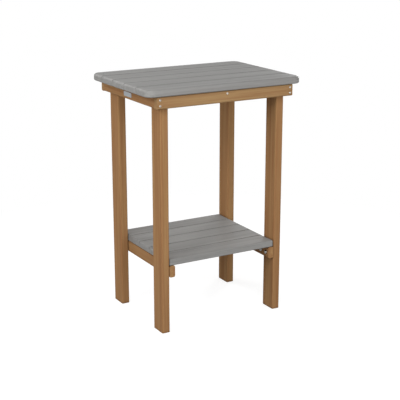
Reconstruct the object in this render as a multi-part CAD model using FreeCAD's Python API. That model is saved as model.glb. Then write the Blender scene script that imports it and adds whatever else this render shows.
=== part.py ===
"""Tall outdoor side table of extruded plastic lumber.

Five grey boards make the top and five more the lower shelf. Four brown legs stand inside the
corners of a brown apron, and two cross rails carry the shelf. Every joint is screwed.

Frame: millimetres, +X along the boards, +Y to the back, +Z up. The origin is on the floor, at the
middle of the footprint.
"""

import FreeCAD
import Part
import math
import os
from collections import defaultdict, namedtuple
from FreeCAD import Vector

# Whole table
TABLE_HEIGHT = 914.4
SHELF_HEIGHT = 283.5

# Boards of the top and of the shelf
BOARD_THICKNESS = 25.4
BOARD_GAP = 0.5
BOARD_EASE = 3.0
GROOVE_WIDTH = 3.2
GROOVE_DEPTH = 6.0
TOP_LENGTH = 643.0
TOP_BOARD_WIDTH = 93.6
TOP_BOARD_COUNT = 5
TOP_CORNER_RADIUS = 33.0
TOP_EDGE_RADIUS = 9.5
SHELF_BOARD_COUNT = 5
SHELF_CORNER_RADIUS = 6.0
SHELF_EDGE_RADIUS = 5.0
SHELF_SETBACK = 0.8
SHELF_END_CLEARANCE = 0.8

# Strips of the apron, the brace and the shelf rails
STRIP_THICKNESS = 23.0
STRIP_HEIGHT = 44.45
STRIP_EDGE_RADIUS = 6.35
END_OVERHANG = 40.0
SIDE_OVERHANG = 6.35

# Legs
LEG_THICKNESS = 31.75
LEG_WIDTH = 69.85
LEG_EDGE_RADIUS = 4.8

# Screws and their bores
SCREW_DIAMETER = 4.2
SCREW_HEAD_DIAMETER = 8.0
SCREW_HEAD_HEIGHT = 2.6
RAIL_SCREW_DIAMETER = 6.3
RAIL_SCREW_HEAD_DIAMETER = 14.0
RAIL_SCREW_HEAD_HEIGHT = 5.2
APRON_SCREW_SPACING = 20.4
RAIL_SCREW_SPACING = 34.6
LEG_SCREW_SPACING = 40.0
END_GRAIN_BITE = 25.0
STRIP_SEAT = 25.0
LEG_SEAT = 20.0
TIP_COVER = 6.0
TIP_LENGTH = 5.0
TIP_CLEARANCE = 0.5
BORE_CLEARANCE = 0.15
COUNTERBORE_CLEARANCE = 1.0
CROWN_SHARE = 0.6
HEAD_SIDES = 10
SHANK_SIDES = 6

# Heights and middle lines worked out from the sizes above
TOP_DEPTH = TOP_BOARD_COUNT * TOP_BOARD_WIDTH + (TOP_BOARD_COUNT - 1) * BOARD_GAP
TOP_UNDERSIDE = TABLE_HEIGHT - BOARD_THICKNESS
SHELF_UNDERSIDE = SHELF_HEIGHT - BOARD_THICKNESS
FRAME_LENGTH = TOP_LENGTH - 2 * END_OVERHANG
FRAME_DEPTH = TOP_DEPTH - 2 * SIDE_OVERHANG
INNER_DEPTH = FRAME_DEPTH - 2 * STRIP_THICKNESS
APRON_Z = TOP_UNDERSIDE - STRIP_HEIGHT / 2
BRACE_Z = TOP_UNDERSIDE - STRIP_THICKNESS / 2
END_APRON_X = (FRAME_LENGTH - STRIP_THICKNESS) / 2
SIDE_APRON_Y = (FRAME_DEPTH - STRIP_THICKNESS) / 2
LEG_X = (FRAME_LENGTH - LEG_THICKNESS) / 2 - STRIP_THICKNESS
LEG_Y = (INNER_DEPTH - LEG_WIDTH) / 2
RAIL_X = LEG_X - (LEG_THICKNESS + STRIP_THICKNESS) / 2
RAIL_Z = SHELF_UNDERSIDE - STRIP_HEIGHT / 2
SHELF_DEPTH = INNER_DEPTH - 2 * SHELF_SETBACK
SHELF_LENGTH = 2 * LEG_X - LEG_THICKNESS - 2 * SHELF_END_CLEARANCE
SHELF_BOARD_WIDTH = (SHELF_DEPTH - (SHELF_BOARD_COUNT - 1) * BOARD_GAP) / SHELF_BOARD_COUNT
BOARD_BITE = BOARD_THICKNESS - TIP_COVER

X = Vector(1, 0, 0)
Y = Vector(0, 1, 0)
Z = Vector(0, 0, 1)
SIDES = {"left": -1, "right": 1}
FACES = {"front": -1, "back": 1}

# A screw's sink is how deep below the surface its head is seated
ScrewKind = namedtuple("ScrewKind", "diameter head_diameter head_height length sink")


def wood_screw(length, sink=0.0):
    """The small screw of every joint but the rails, in the length that the joint needs."""
    return ScrewKind(SCREW_DIAMETER, SCREW_HEAD_DIAMETER, SCREW_HEAD_HEIGHT, length, sink)


APRON_SCREW = wood_screw(STRIP_THICKNESS + END_GRAIN_BITE)
BRACE_SCREW = wood_screw(STRIP_THICKNESS + BOARD_BITE)
BOARD_SCREW = wood_screw(STRIP_SEAT + BOARD_BITE, STRIP_HEIGHT - STRIP_SEAT)
LEG_SCREW = wood_screw(LEG_SEAT + STRIP_THICKNESS - TIP_COVER, LEG_THICKNESS - LEG_SEAT)
RAIL_SCREW = ScrewKind(RAIL_SCREW_DIAMETER, RAIL_SCREW_HEAD_DIAMETER, RAIL_SCREW_HEAD_HEIGHT,
                       STRIP_THICKNESS + LEG_THICKNESS - TIP_COVER, 0.0)

pieces = {}
bores = defaultdict(list)
screws = defaultdict(list)


def rounded_face(centre, u, v, width, height, radius):
    """A rectangle, its width along u and its height along v, with rounded corners."""
    arcs = []
    for quarter in range(4):
        diagonal = math.pi / 4 + quarter * math.pi / 2
        corner = centre + u * math.copysign(width / 2 - radius, math.cos(diagonal))
        corner = corner + v * math.copysign(height / 2 - radius, math.sin(diagonal))
        turns = (diagonal - math.pi / 4, diagonal, diagonal + math.pi / 4)
        points = [corner + (u * math.cos(turn) + v * math.sin(turn)) * radius for turn in turns]
        arcs.append(Part.Arc(*points))
    edges = []
    for arc, following in zip(arcs, arcs[1:] + arcs[:1]):
        edges.append(arc.toShape())
        edges.append(Part.LineSegment(arc.EndPoint, following.StartPoint).toShape())
    return Part.Face(Part.Wire(edges))


def slot_cutter(middle_y, underside, length):
    """The groove between two boards, its mouth rounded, and the chamfered hairline joint below it."""
    mouth_level = BOARD_THICKNESS
    shoulder_level = BOARD_THICKNESS - BOARD_EASE
    groove_level = BOARD_THICKNESS - GROOVE_DEPTH
    mid_arc = BOARD_EASE * (1 - math.sqrt(0.5))

    def point(side, out, up):
        return Vector(-length / 2, middle_y + side * out, underside + up)

    walls = []
    for side in (1, -1):
        mouth = point(side, GROOVE_WIDTH / 2 + BOARD_EASE, mouth_level)
        corners = [point(side, GROOVE_WIDTH / 2, shoulder_level), point(side, GROOVE_WIDTH / 2, groove_level),
                   point(side, BOARD_GAP / 2, groove_level), point(side, BOARD_GAP / 2, BOARD_EASE),
                   point(side, BOARD_GAP / 2 + BOARD_EASE, 0)]
        shoulder = Part.Arc(mouth, point(side, GROOVE_WIDTH / 2 + mid_arc, mouth_level - mid_arc), corners[0])
        runs = [Part.LineSegment(*ends) for ends in zip(corners, corners[1:])]
        walls.append([shoulder] + runs)
    back, front = walls
    floor = Part.LineSegment(back[-1].EndPoint, front[-1].EndPoint)
    lid = Part.LineSegment(front[0].StartPoint, back[0].StartPoint)
    outline = back + [floor] + front[::-1] + [lid]
    return Part.Face(Part.Wire([curve.toShape() for curve in outline])).extrude(X * length)


def board_middles(count, width):
    """The middle line of each board, from the front board to the back one."""
    pitch = width + BOARD_GAP
    return [(number - (count - 1) / 2) * pitch for number in range(count)]


def rim_edges(slab, level):
    """The edges of a slab that lie at one level."""
    return [edge for edge in slab.Edges if all(math.isclose(end.Z, level) for end in edge.Vertexes)]


def cut_boards(count, width, length, underside, corner_radius, edge_radius):
    """Boards cut from one slab, so that its rounded edge runs on from board to board."""
    depth = count * width + (count - 1) * BOARD_GAP
    outline = rounded_face(Z * underside, X, Y, length, depth, corner_radius)
    slab = outline.extrude(Z * BOARD_THICKNESS)
    slab = slab.makeFillet(edge_radius, rim_edges(slab, underside + BOARD_THICKNESS))
    slab = slab.makeChamfer(BOARD_EASE, rim_edges(slab, underside))
    middles = board_middles(count, width)
    gaps = [(front + back) / 2 for front, back in zip(middles, middles[1:])]
    slats = slab.cut([slot_cutter(gap, underside, length) for gap in gaps])
    return sorted(slats.Solids, key=lambda slat: slat.CenterOfMass.y)


def make_boards():
    """The five boards of the top and the five of the shelf, numbered from the front."""
    top = cut_boards(TOP_BOARD_COUNT, TOP_BOARD_WIDTH, TOP_LENGTH, TOP_UNDERSIDE,
                     TOP_CORNER_RADIUS, TOP_EDGE_RADIUS)
    shelf = cut_boards(SHELF_BOARD_COUNT, SHELF_BOARD_WIDTH, SHELF_LENGTH, SHELF_UNDERSIDE,
                       SHELF_CORNER_RADIUS, SHELF_EDGE_RADIUS)
    for name, boards in (("top_board", top), ("shelf_board", shelf)):
        for number, board in enumerate(boards, start=1):
            pieces[f"{name}_{number}"] = board


def make_strips():
    """The apron, the flat brace across its middle and the two rails under the shelf."""
    for name, face in FACES.items():
        start = Vector(-FRAME_LENGTH / 2, face * SIDE_APRON_Y, APRON_Z)
        profile = rounded_face(start, Y, Z, STRIP_THICKNESS, STRIP_HEIGHT, STRIP_EDGE_RADIUS)
        pieces[f"apron_{name}"] = profile.extrude(X * FRAME_LENGTH)
    for name, side in SIDES.items():
        for node, x, z in (("apron", END_APRON_X, APRON_Z), ("shelf_rail", RAIL_X, RAIL_Z)):
            start = Vector(side * x, -INNER_DEPTH / 2, z)
            profile = rounded_face(start, X, Z, STRIP_THICKNESS, STRIP_HEIGHT, STRIP_EDGE_RADIUS)
            pieces[f"{node}_{name}"] = profile.extrude(Y * INNER_DEPTH)
    start = Vector(0, -INNER_DEPTH / 2, BRACE_Z)
    profile = rounded_face(start, X, Z, STRIP_HEIGHT, STRIP_THICKNESS, STRIP_EDGE_RADIUS)
    pieces["top_brace"] = profile.extrude(Y * INNER_DEPTH)


def make_legs():
    """Four legs from the floor to the underside of the top."""
    for face_name, face in FACES.items():
        for side_name, side in SIDES.items():
            foot = Vector(side * LEG_X, face * LEG_Y, 0)
            profile = rounded_face(foot, X, Y, LEG_THICKNESS, LEG_WIDTH, LEG_EDGE_RADIUS)
            pieces[f"leg_{face_name}_{side_name}"] = profile.extrude(Z * TOP_UNDERSIDE)


def polygon(sides, diameter, z):
    """A regular polygon at height z, its corners on a circle of this diameter."""
    turns = [2 * math.pi * step / sides for step in range(sides + 1)]
    return Part.makePolygon([Vector(math.cos(turn), math.sin(turn), 0) * (diameter / 2) + Z * z
                             for turn in turns])


def prism(sides, diameter, low, high):
    """A straight bar of regular section between two heights."""
    return Part.Face(polygon(sides, diameter, low)).extrude(Z * (high - low))


def screw(kind):
    """One screw, faceted to keep it light. The head's seat is at z = 0 and the shank hangs below."""
    tip = Part.Vertex(0, 0, -kind.length)
    shank_ends = [polygon(SHANK_SIDES, kind.diameter, z) for z in (TIP_LENGTH - kind.length, 0)]
    shank = Part.makeLoft([tip] + shank_ends, True, True)
    seat = polygon(HEAD_SIDES, kind.head_diameter, 0)
    crown = polygon(HEAD_SIDES, kind.head_diameter * CROWN_SHARE, kind.head_height)
    head = Part.makeLoft([seat, crown], True, True)
    return shank.fuse(head)


def fasten(group, kind, entry, drive, near, far):
    """Drive one screw through the near piece into the far one, and bore both of them for it."""
    place = FreeCAD.Placement(entry + drive * kind.sink, FreeCAD.Rotation(-Z, drive))
    bore = prism(SHANK_SIDES, kind.diameter + 2 * BORE_CLEARANCE, -kind.length - TIP_CLEARANCE, 0)
    near_bores = [bore]
    if kind.sink > 0:
        width = kind.head_diameter + 2 * COUNTERBORE_CLEARANCE
        near_bores.append(prism(HEAD_SIDES, width, 0, kind.sink))
    screws[group].append(screw(kind).transformed(place.Matrix))
    bores[near] += [tool.transformed(place.Matrix) for tool in near_bores]
    bores[far].append(bore.transformed(place.Matrix))


def fasten_apron():
    """Screws through the long aprons: two into each end apron and one into the brace."""
    for face_name, face in FACES.items():
        near = f"apron_{face_name}"
        entry_y = face * FRAME_DEPTH / 2
        for side_name, side in SIDES.items():
            for up in (-APRON_SCREW_SPACING / 2, APRON_SCREW_SPACING / 2):
                entry = Vector(side * END_APRON_X, entry_y, APRON_Z + up)
                fasten("apron_screws", APRON_SCREW, entry, Y * -face, near, f"apron_{side_name}")
        fasten("apron_screws", APRON_SCREW, Vector(0, entry_y, BRACE_Z), Y * -face, near, "top_brace")


def fasten_legs():
    """Screws from the legs' inner faces: two at the top of each leg into the end apron."""
    for face_name, face in FACES.items():
        for side_name, side in SIDES.items():
            for along in (-LEG_SCREW_SPACING / 2, LEG_SCREW_SPACING / 2):
                entry = Vector(side * (LEG_X - LEG_THICKNESS / 2), face * LEG_Y + along, APRON_Z)
                fasten("leg_screws", LEG_SCREW, entry, X * side,
                       f"leg_{face_name}_{side_name}", f"apron_{side_name}")


def fasten_rails():
    """Large screws from the rails' inner faces: two into each leg, halfway up the rail."""
    for face_name, face in FACES.items():
        for side_name, side in SIDES.items():
            for along in (-RAIL_SCREW_SPACING / 2, RAIL_SCREW_SPACING / 2):
                entry = Vector(side * (RAIL_X - STRIP_THICKNESS / 2), face * LEG_Y + along, RAIL_Z)
                fasten("rail_screws", RAIL_SCREW, entry, X * side,
                       f"shelf_rail_{side_name}", f"leg_{face_name}_{side_name}")


def fasten_boards():
    """Screws from below into each board, at its middle or, on the outer boards, level with the legs."""
    top_rows = board_middles(TOP_BOARD_COUNT, TOP_BOARD_WIDTH)
    shelf_rows = board_middles(SHELF_BOARD_COUNT, SHELF_BOARD_WIDTH)
    for rows in (top_rows, shelf_rows):
        rows[0] = -LEG_Y
        rows[-1] = LEG_Y
    for name, side in SIDES.items():
        for number, y in enumerate(top_rows, start=1):
            entry = Vector(side * END_APRON_X, y, TOP_UNDERSIDE - STRIP_HEIGHT)
            fasten("top_screws", BOARD_SCREW, entry, Z, f"apron_{name}", f"top_board_{number}")
        for number, y in enumerate(shelf_rows, start=1):
            entry = Vector(side * RAIL_X, y, SHELF_UNDERSIDE - STRIP_HEIGHT)
            fasten("shelf_screws", BOARD_SCREW, entry, Z, f"shelf_rail_{name}", f"shelf_board_{number}")
    for number, y in enumerate(top_rows, start=1):
        entry = Vector(0, y, TOP_UNDERSIDE - STRIP_THICKNESS)
        fasten("brace_screws", BRACE_SCREW, entry, Z, "top_brace", f"top_board_{number}")


make_boards()
make_strips()
make_legs()
fasten_apron()
fasten_legs()
fasten_rails()
fasten_boards()

os.makedirs("parts", exist_ok=True)
for node, piece in pieces.items():
    piece.cut(bores[node]).exportStep(f"parts/{node}.step")
for node, group in screws.items():
    Part.makeCompound(group).exportStep(f"parts/{node}.step")
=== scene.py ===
"""Finishes of the tall outdoor side table: plastic lumber, stainless screws and a blank plate.

Frame: metres, +X along the boards, +Y to the back, +Z up, with the floor at z = 0.
"""

import bmesh
import bpy
import math
from mathutils import Matrix, Vector


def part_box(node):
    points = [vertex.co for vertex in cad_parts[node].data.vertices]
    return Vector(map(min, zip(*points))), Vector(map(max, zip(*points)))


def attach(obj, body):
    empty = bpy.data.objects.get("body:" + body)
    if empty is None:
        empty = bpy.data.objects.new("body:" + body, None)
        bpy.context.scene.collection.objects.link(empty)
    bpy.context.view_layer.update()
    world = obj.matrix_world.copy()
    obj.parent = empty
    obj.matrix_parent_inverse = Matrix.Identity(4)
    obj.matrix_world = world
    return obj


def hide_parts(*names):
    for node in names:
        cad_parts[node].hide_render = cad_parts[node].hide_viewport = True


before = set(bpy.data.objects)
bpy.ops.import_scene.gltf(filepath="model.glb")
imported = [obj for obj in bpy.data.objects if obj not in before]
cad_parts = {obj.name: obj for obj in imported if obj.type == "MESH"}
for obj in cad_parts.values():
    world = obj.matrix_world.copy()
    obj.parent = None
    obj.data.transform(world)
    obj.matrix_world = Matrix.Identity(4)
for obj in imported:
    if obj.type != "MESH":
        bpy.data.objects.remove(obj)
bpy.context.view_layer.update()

MM = 0.001
X, Y, Z = range(3)
WHITE = "#FFFFFF"

# Camera
CAMERA_LENS = 92.0
CAMERA_AIM = Vector((0.014, -0.008, 0.426))
CAMERA_DISTANCE = 3.955
CAMERA_AZIMUTH = math.radians(-29.8)
CAMERA_ELEVATION = math.radians(16.0)

# Soft square lights: name, place, size and power in watts
LIGHTS = [
    ("front_low", (-0.6, -3.5, 0.9), 2.0, 55.0),
    ("front_key", (-1.2, -2.6, 3.4), 2.0, 58.0),
    ("front_right", (2.4, -2.6, 1.6), 2.0, 25.0),
    ("left_fill", (-3.0, -0.6, 1.8), 2.0, 60.0),
    ("back_right", (2.6, 2.0, 1.1), 1.0, 46.0),
    ("back_rim", (-1.2, 3.0, 2.4), 2.0, 56.0),
]

# Surround: its level as light, and a paper floor that turns plain white between two distances
SURROUND_LIGHT = 0.1
FLOOR_SIZE = 40.0
FLOOR_PAPER = "#959595"
FLOOR_GLOW = 0.82
FLOOR_FADE = (0.6, 1.6)

# Patterns: how fine the noise goes, and the part of its values that most of a surface has
NOISE_DETAIL = 2.0
NOISE_RANGE = {"From Min": 0.3, "From Max": 0.7}

# Grain of the extruded lumber: the length and width of bands, streaks and lines, and their shares
GRAIN = [((900 * MM, 26 * MM), 0.4), ((420 * MM, 8 * MM), 0.4), ((130 * MM, 2.4 * MM), 0.2)]
GRAIN_FINENESS = 0.6
STREAK_DEPTH = 0.6 * MM
LINE_DEPTH = 0.4 * MM

# Tones from dark to light. The long apron strips are a little yellower than the other brown pieces
TONE_STOPS = (0.36, 0.5, 0.64)
GREY = ("#838280", "#8C8B89", "#949391")
BROWN = ("#8B623F", "#98714C", "#A48056")
LONG_STRIP_BROWN = ("#8B6744", "#987652", "#A4865D")

# Skin of the lumber: least and greatest roughness, specular level and strength of the relief
SMOOTH_SKIN = (0.36, 0.46, 0.04, 0.12)
MATTE_SKIN = (0.58, 0.72, 0.05, 0.25)
POLYETHYLENE_IOR = 1.5

# Shade painted into the colour of grooves and joints: how near a neighbour has to be, and how much
# of that painted shade shows
PAINTED_SHADE_REACH = 10 * MM
PAINTED_SHADE_SHARE = 0.58
PAINTED_SHADE_SAMPLES = 8

# Steel of the screws: the size of its tumbling marks, and its least and greatest roughness
BRIGHT_STEEL = "#B7B3AC"
# A darker copy of the same steel for the screws under the shelf: painted shade
SHADED_RAIL_STEEL = "#7C7A77"
TUMBLING_SIZE = 1.2 * MM
TUMBLED_GLOSS = (0.2, 0.34)

# Steel of the plate: the length, width, strength and depth of its brushed lines, and its roughness
PLATE_STEEL = "#969A9D"
BRUSHED_LENGTH = 40 * MM
BRUSHED_WIDTH = 0.5 * MM
BRUSHED_STRENGTH = 0.1
BRUSHED_DEPTH = 0.05 * MM
BRUSHED_GLOSS = (0.3, 0.5)

# Reading a screw's solid: the rim and the shank are told apart by shares of the head's radius
MERGE_DISTANCE = 0.01 * MM
RIM_SHARE = 0.99
SHANK_SHARE = 0.55

# Modelling a screw: its rounding and the depth of its recess are shares of the crown's height,
# and the size of the recess is a share of the flat on top
SCREW_SIDES = 24
TIP_LENGTH = 5 * MM
ROUNDING_SHARE = 0.82
ROUNDING_SEGMENTS = 5
RECESS_SIDES = 4
RECESS_SHARE = 0.8
RECESS_DEPTH_SHARE = 0.45

# Blank plate on the left end of the apron
PLATE_LENGTH = 61 * MM
PLATE_HEIGHT = 17 * MM
PLATE_THICKNESS = 1.2 * MM
PLATE_CORNER = 2.5 * MM
PLATE_CORNER_SEGMENTS = 5
PLATE_EDGE = 0.3 * MM
PLATE_EDGE_SEGMENTS = 3
PLATE_RIM = 1.5 * MM
PLATE_FIELD_DEPTH = 0.3 * MM
PLATE_SIDE_OFFSET = 2.5 * MM
PLATE_DROP = 3 * MM


def linear(code):
    """An sRGB hex colour as linear light."""
    channels = [int(code[place:place + 2], 16) / 255 for place in (1, 3, 5)]
    return [c / 12.92 if c <= 0.04045 else ((c + 0.055) / 1.055) ** 2.4 for c in channels] + [1.0]


def add(tree, kind, inputs, **settings):
    """One node with its settings. An input that is a socket is linked, and any other is set."""
    node = tree.nodes.new(kind)
    for name, value in settings.items():
        setattr(node, name, value)
    for name, value in inputs.items():
        if isinstance(value, bpy.types.NodeSocket):
            tree.links.new(value, node.inputs[name])
        else:
            node.inputs[name].default_value = value
    return node


def new_material(name):
    """A material with its shader, its node tree and the place on the object that patterns read."""
    material = bpy.data.materials.new(name)
    material.use_nodes = True
    tree = material.node_tree
    place = add(tree, "ShaderNodeTexCoord", {}).outputs["Object"]
    return material, tree, tree.nodes["Principled BSDF"], place


def extruded_lumber(name, along, tones, skin):
    """Extruded HDPE lumber, coloured through: a satin skin with soft streaks and fine drawn lines.

    The real lines go down to a fraction of a millimetre, and are drawn coarser here so that they
    show from a few metres away. Shade is painted into the colour of grooves and joints, so that
    each board stands out.
    """
    material, tree, shader, place = new_material(name)
    drawn = []
    tone = 0.0
    for (length, width), share in GRAIN:
        scale = [1 / width] * 3
        scale[along] = 1 / length
        stretched = add(tree, "ShaderNodeMapping", {"Vector": place, "Scale": scale})
        noise = add(tree, "ShaderNodeTexNoise", {
            "Vector": stretched.outputs["Vector"], "Scale": 1.0,
            "Detail": NOISE_DETAIL, "Roughness": GRAIN_FINENESS})
        drawn.append(noise.outputs["Fac"])
        tone = add(tree, "ShaderNodeMath", {0: drawn[-1], 1: share, 2: tone},
                   operation="MULTIPLY_ADD").outputs["Value"]
    colour = add(tree, "ShaderNodeValToRGB", {"Fac": tone})
    stops = colour.color_ramp.elements
    stops.new(TONE_STOPS[1])
    for stop, position, code in zip(stops, TONE_STOPS, tones):
        stop.position = position
        stop.color = linear(code)
    streaks, lines = drawn[1:]
    smoothest, roughest, specular, strength = skin
    gloss = add(tree, "ShaderNodeMapRange", {
        "Value": lines, "To Min": smoothest, "To Max": roughest, **NOISE_RANGE})
    relief = add(tree, "ShaderNodeBump", {
        "Height": streaks, "Strength": strength, "Distance": STREAK_DEPTH})
    relief = add(tree, "ShaderNodeBump", {
        "Height": lines, "Strength": strength, "Distance": LINE_DEPTH,
        "Normal": relief.outputs["Normal"]})
    # Painted shade: the colour darkens where other surfaces are near, in grooves, joints and under
    # parts
    painted_joint_shade = add(tree, "ShaderNodeAmbientOcclusion", {
        "Color": colour.outputs["Color"], "Distance": PAINTED_SHADE_REACH}, samples=PAINTED_SHADE_SAMPLES)
    # A colour mix has its share at socket 0, its colours at 6 and 7 and its result at output 2
    shaded = add(tree, "ShaderNodeMix", {
        0: PAINTED_SHADE_SHARE, 6: colour.outputs["Color"], 7: painted_joint_shade.outputs["Color"]}, data_type="RGBA")
    tree.links.new(shaded.outputs[2], shader.inputs["Base Color"])
    tree.links.new(gloss.outputs["Result"], shader.inputs["Roughness"])
    tree.links.new(relief.outputs["Normal"], shader.inputs["Normal"])
    shader.inputs["IOR"].default_value = POLYETHYLENE_IOR
    shader.inputs["Specular IOR Level"].default_value = specular
    return material


def stainless_steel(name, tone):
    """Stainless steel, cold headed and tumbled: a clear metal shine with a soft broken gloss."""
    material, tree, shader, place = new_material(name)
    tumbling = add(tree, "ShaderNodeTexNoise", {
        "Vector": place, "Scale": 1 / TUMBLING_SIZE, "Detail": NOISE_DETAIL})
    smoothest, roughest = TUMBLED_GLOSS
    gloss = add(tree, "ShaderNodeMapRange", {
        "Value": tumbling.outputs["Fac"], "To Min": smoothest, "To Max": roughest, **NOISE_RANGE})
    shader.inputs["Base Color"].default_value = linear(tone)
    shader.inputs["Metallic"].default_value = 1.0
    tree.links.new(gloss.outputs["Result"], shader.inputs["Roughness"])
    return material


def brushed_plate():
    """Stainless sheet, brushed lengthwise: pale, with fine lines that spread the light."""
    material, tree, shader, place = new_material("stainless_sheet_brushed")
    scale = (1 / BRUSHED_WIDTH, 1 / BRUSHED_LENGTH, 1 / BRUSHED_WIDTH)
    drawn = add(tree, "ShaderNodeMapping", {"Vector": place, "Scale": scale})
    lines = add(tree, "ShaderNodeTexNoise", {
        "Vector": drawn.outputs["Vector"], "Scale": 1.0, "Detail": NOISE_DETAIL})
    smoothest, roughest = BRUSHED_GLOSS
    gloss = add(tree, "ShaderNodeMapRange", {
        "Value": lines.outputs["Fac"], "To Min": smoothest, "To Max": roughest, **NOISE_RANGE})
    shader.inputs["Base Color"].default_value = linear(PLATE_STEEL)
    shader.inputs["Metallic"].default_value = 1.0
    tree.links.new(gloss.outputs["Result"], shader.inputs["Roughness"])
    relief = add(tree, "ShaderNodeBump", {
        "Height": lines.outputs["Fac"], "Strength": BRUSHED_STRENGTH, "Distance": BRUSHED_DEPTH})
    tree.links.new(relief.outputs["Normal"], shader.inputs["Normal"])
    return material


def named(*starts):
    """The nodes whose names start in one of these ways."""
    return [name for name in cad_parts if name.startswith(starts)]


def dress(names, material):
    """Give the solids of these nodes a finish."""
    for name in names:
        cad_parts[name].material_slots[0].material = material


def finished_piece(name, shape, material, slot, *replaced):
    """A modelled piece that rides with the table and takes the given finish."""
    bmesh.ops.recalc_face_normals(shape, faces=shape.faces)
    mesh = bpy.data.meshes.new(name)
    shape.to_mesh(mesh)
    shape.free()
    mesh.materials.append(material)
    piece = bpy.data.objects.new(name, mesh)
    bpy.context.scene.collection.objects.link(piece)
    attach(piece, "root")
    if replaced:
        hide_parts(*replaced)


def solids_of(node):
    """The separate solids of a node, each as the list of its points."""
    shape = bmesh.new()
    shape.from_mesh(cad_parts[node].data)
    bmesh.ops.remove_doubles(shape, verts=shape.verts, dist=MERGE_DISTANCE)
    seen = set()
    solids = []
    for start in shape.verts:
        if start in seen:
            continue
        seen.add(start)
        solid = [start]
        for point in solid:
            for edge in point.link_edges:
                other = edge.other_vert(point)
                if other not in seen:
                    seen.add(other)
                    solid.append(other)
        solids.append([point.co.copy() for point in solid])
    shape.free()
    return solids


def read_screw(points):
    """A screw's seat, outward direction and sizes, read from its solid."""
    low = Vector([min(point[axis] for point in points) for axis in (X, Y, Z)])
    high = Vector([max(point[axis] for point in points) for axis in (X, Y, Z)])
    along = max((X, Y, Z), key=lambda axis: high[axis] - low[axis])
    seat = (low + high) / 2

    def radius(point):
        spread = point - seat
        spread[along] = 0
        return spread.length

    head_radius = max(radius(point) for point in points)
    seat[along] = next(point[along] for point in points if radius(point) > RIM_SHARE * head_radius)
    outward = Vector((0, 0, 0))
    outward[along] = 1 if high[along] - seat[along] < seat[along] - low[along] else -1
    crown = high[along] - seat[along] if outward[along] > 0 else seat[along] - low[along]
    length = high[along] - low[along] - crown
    shank = [radius(point) for point in points if radius(point) < SHANK_SHARE * head_radius]
    return seat, outward, head_radius, crown, max(shank), length


def model_screw(head_radius, crown, shank_radius, length):
    """A round-headed screw with a square drive. Its seat is at z = 0 and its shank hangs below."""
    shape = bmesh.new()
    bmesh.ops.create_cone(shape, cap_ends=True, segments=SCREW_SIDES, radius1=head_radius,
                          radius2=head_radius, depth=crown,
                          matrix=Matrix.Translation((0, 0, crown / 2)))

    def height(face):
        return face.calc_center_median().z

    bottom = min(shape.faces, key=height)
    bmesh.ops.inset_individual(shape, faces=[bottom], thickness=head_radius - shank_radius,
                               use_even_offset=True)
    for drop in (length - TIP_LENGTH, TIP_LENGTH):
        bottom = bmesh.ops.extrude_discrete_faces(shape, faces=[bottom])["faces"][0]
        bmesh.ops.translate(shape, verts=list(bottom.verts), vec=(0, 0, -drop))
    bmesh.ops.pointmerge(shape, verts=list(bottom.verts), merge_co=(0, 0, -length))

    rounding = crown * ROUNDING_SHARE
    top = max(shape.faces, key=height)
    bmesh.ops.bevel(shape, geom=list(top.edges), offset=rounding, affect="EDGES",
                    segments=ROUNDING_SEGMENTS, profile=0.5, material=-1)
    top = max(shape.faces, key=height)
    ring = list(top.edges)
    bmesh.ops.delete(shape, geom=[top], context="FACES_ONLY")
    bmesh.ops.create_circle(shape, cap_ends=False, segments=RECESS_SIDES,
                            radius=(head_radius - rounding) * RECESS_SHARE,
                            matrix=Matrix.Translation((0, 0, crown)))
    mouth = [edge for edge in shape.edges if not edge.link_faces]
    bmesh.ops.bridge_loops(shape, edges=ring + mouth)
    walls = bmesh.ops.extrude_edge_only(shape, edges=mouth)["geom"]
    corners = [part for part in walls if isinstance(part, bmesh.types.BMVert)]
    bmesh.ops.translate(shape, verts=corners, vec=(0, 0, -crown * RECESS_DEPTH_SHARE))
    bmesh.ops.contextual_create(shape, geom=corners)
    mesh = bpy.data.meshes.new("one_screw")
    shape.to_mesh(mesh)
    shape.free()
    return mesh


def turn_screws(node, material):
    """Round-headed screws in the places of a node's plain ones."""
    shape = bmesh.new()
    for points in solids_of(node):
        seat, outward, *sizes = read_screw(points)
        mesh = model_screw(*sizes)
        before = len(shape.verts)
        shape.from_mesh(mesh)
        shape.verts.ensure_lookup_table()
        place = Matrix.Translation(seat) @ outward.to_track_quat("Z", "Y").to_matrix().to_4x4()
        bmesh.ops.transform(shape, matrix=place, verts=shape.verts[before:])
        bpy.data.meshes.remove(mesh)
    for face in shape.faces:
        face.smooth = True
    finished_piece(f"{node}_turned", shape, material, "stainless_steel", node)


def blank_plate(material):
    """A plain plate with a pressed rim on the outer face of the left end apron."""
    low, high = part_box("apron_left")
    shape = bmesh.new()
    bmesh.ops.create_cube(shape, size=1.0,
                          matrix=Matrix.Diagonal((PLATE_THICKNESS, PLATE_LENGTH, PLATE_HEIGHT, 1)))
    corners = [edge for edge in shape.edges if edge.verts[0].co.yz == edge.verts[1].co.yz]
    bmesh.ops.bevel(shape, geom=corners, offset=PLATE_CORNER, affect="EDGES",
                    segments=PLATE_CORNER_SEGMENTS, profile=0.5, material=-1)
    front = min(shape.faces, key=lambda face: face.calc_center_median().x)
    bmesh.ops.bevel(shape, geom=list(front.edges), offset=PLATE_EDGE, affect="EDGES",
                    segments=PLATE_EDGE_SEGMENTS, profile=0.5, material=-1)
    front = min(shape.faces, key=lambda face: face.calc_center_median().x)
    bmesh.ops.inset_individual(shape, faces=[front], thickness=PLATE_RIM, depth=-PLATE_FIELD_DEPTH)
    middle = (low + high) / 2
    place = Vector((low.x - PLATE_THICKNESS / 2, middle.y + PLATE_SIDE_OFFSET,
                    middle.z - PLATE_DROP))
    bmesh.ops.translate(shape, verts=shape.verts, vec=place)
    finished_piece("blank_plate", shape, material, "stainless_steel")


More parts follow.
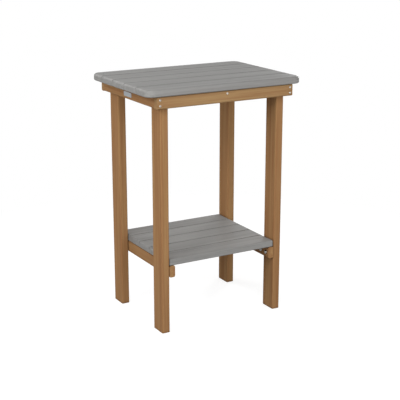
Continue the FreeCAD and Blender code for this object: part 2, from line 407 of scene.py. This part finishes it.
def seen_background(tree):
    """One where the camera, a gloss or a see-through surface looks at the background, else zero."""
    path = add(tree, "ShaderNodeLightPath", {})
    seen = path.outputs["Is Camera Ray"]
    for ray in ("Is Glossy Ray", "Is Transmission Ray"):
        either = add(tree, "ShaderNodeMath", {0: seen, 1: path.outputs[ray]}, operation="MAXIMUM")
        seen = either.outputs["Value"]
    return seen


def white_world():
    """An even white surround: white where it is seen, and softer as light."""
    world = bpy.data.worlds.new("white_surround")
    world.use_nodes = True
    bpy.context.scene.world = world
    tree = world.node_tree
    # A number mix has its share at socket 0, its numbers at 2 and 3 and its result at output 0
    level = add(tree, "ShaderNodeMix", {
        0: seen_background(tree), 2: SURROUND_LIGHT, 3: 1.0}, data_type="FLOAT")
    background = tree.nodes["Background"]
    background.inputs["Color"].default_value = linear(WHITE)
    tree.links.new(level.outputs[0], background.inputs["Strength"])


def white_floor():
    """A white floor that keeps a pale shadow near the table and fades into the surround."""
    mesh = bpy.data.meshes.new("floor")
    shape = bmesh.new()
    bmesh.ops.create_grid(shape, x_segments=1, y_segments=1, size=FLOOR_SIZE / 2)
    shape.to_mesh(mesh)
    shape.free()
    floor = bpy.data.objects.new("floor", mesh)
    bpy.context.scene.collection.objects.link(floor)
    material, tree, shader, place = new_material("floor_white_paper")
    tree.nodes.remove(shader)
    paper = add(tree, "ShaderNodeBsdfDiffuse", {"Color": linear(FLOOR_PAPER)})
    glow = add(tree, "ShaderNodeEmission", {"Color": linear(WHITE), "Strength": FLOOR_GLOW})
    near = add(tree, "ShaderNodeAddShader", {0: paper.outputs[0], 1: glow.outputs[0]})
    white = add(tree, "ShaderNodeEmission", {"Color": linear(WHITE), "Strength": 1.0})
    reach = add(tree, "ShaderNodeVectorMath", {0: place}, operation="LENGTH")
    fade = add(tree, "ShaderNodeMapRange", {
        "Value": reach.outputs["Value"], "From Min": FLOOR_FADE[0], "From Max": FLOOR_FADE[1]})
    seen = add(tree, "ShaderNodeMixShader", {
        0: fade.outputs["Result"], 1: near.outputs[0], 2: white.outputs[0]})
    both = add(tree, "ShaderNodeMixShader", {
        0: seen_background(tree), 1: paper.outputs[0], 2: seen.outputs[0]})
    tree.links.new(both.outputs[0], tree.nodes["Material Output"].inputs["Surface"])
    mesh.materials.append(material)


def soft_light(name, place, size, power):
    """A square soft light that faces the middle of the table."""
    data = bpy.data.lights.new(name, "AREA")
    data.size = size
    data.energy = power
    light = bpy.data.objects.new(name, data)
    light.location = place
    light.rotation_euler = (CAMERA_AIM - Vector(place)).to_track_quat("-Z", "Y").to_euler()
    bpy.context.scene.collection.objects.link(light)


def photo_camera():
    """The camera at the photograph's angle, with its verticals left to converge a little."""
    data = bpy.data.cameras.new("camera")
    data.lens = CAMERA_LENS
    camera = bpy.data.objects.new("camera", data)
    flat = math.cos(CAMERA_ELEVATION)
    back = Vector((math.sin(CAMERA_AZIMUTH) * flat, -math.cos(CAMERA_AZIMUTH) * flat,
                   math.sin(CAMERA_ELEVATION)))
    camera.location = CAMERA_AIM + back * CAMERA_DISTANCE
    camera.rotation_euler = (-back).to_track_quat("-Z", "Y").to_euler()
    bpy.context.scene.collection.objects.link(camera)
    bpy.context.scene.camera = camera


dress(named("top_board", "shelf_board"), extruded_lumber("hdpe_lumber_grey", X, GREY, SMOOTH_SKIN))
brown_runs = [
    ("upright", Z, BROWN, named("leg_front", "leg_back")),
    ("lengthwise", X, LONG_STRIP_BROWN, named("apron_front", "apron_back")),
    ("crosswise", Y, BROWN, named("apron_left", "apron_right", "top_brace", "shelf_rail")),
]
for run, along, tones, nodes in brown_runs:
    dress(nodes, extruded_lumber(f"hdpe_lumber_brown_{run}", along, tones, MATTE_SKIN))
bright_steel = stainless_steel("stainless_steel_tumbled", BRIGHT_STEEL)
painted_shade_steel = stainless_steel("stainless_steel_tumbled_painted_shade", SHADED_RAIL_STEEL)
# The rail screws under the shelf take the darker copy of the steel, as painted shade
for row in [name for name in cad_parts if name.endswith("_screws")]:
    turn_screws(row, painted_shade_steel if row == "rail_screws" else bright_steel)
blank_plate(brushed_plate())

white_world()
white_floor()
for light in LIGHTS:
    soft_light(*light)
photo_camera()
bpy.context.scene.view_settings.view_transform = "Standard"
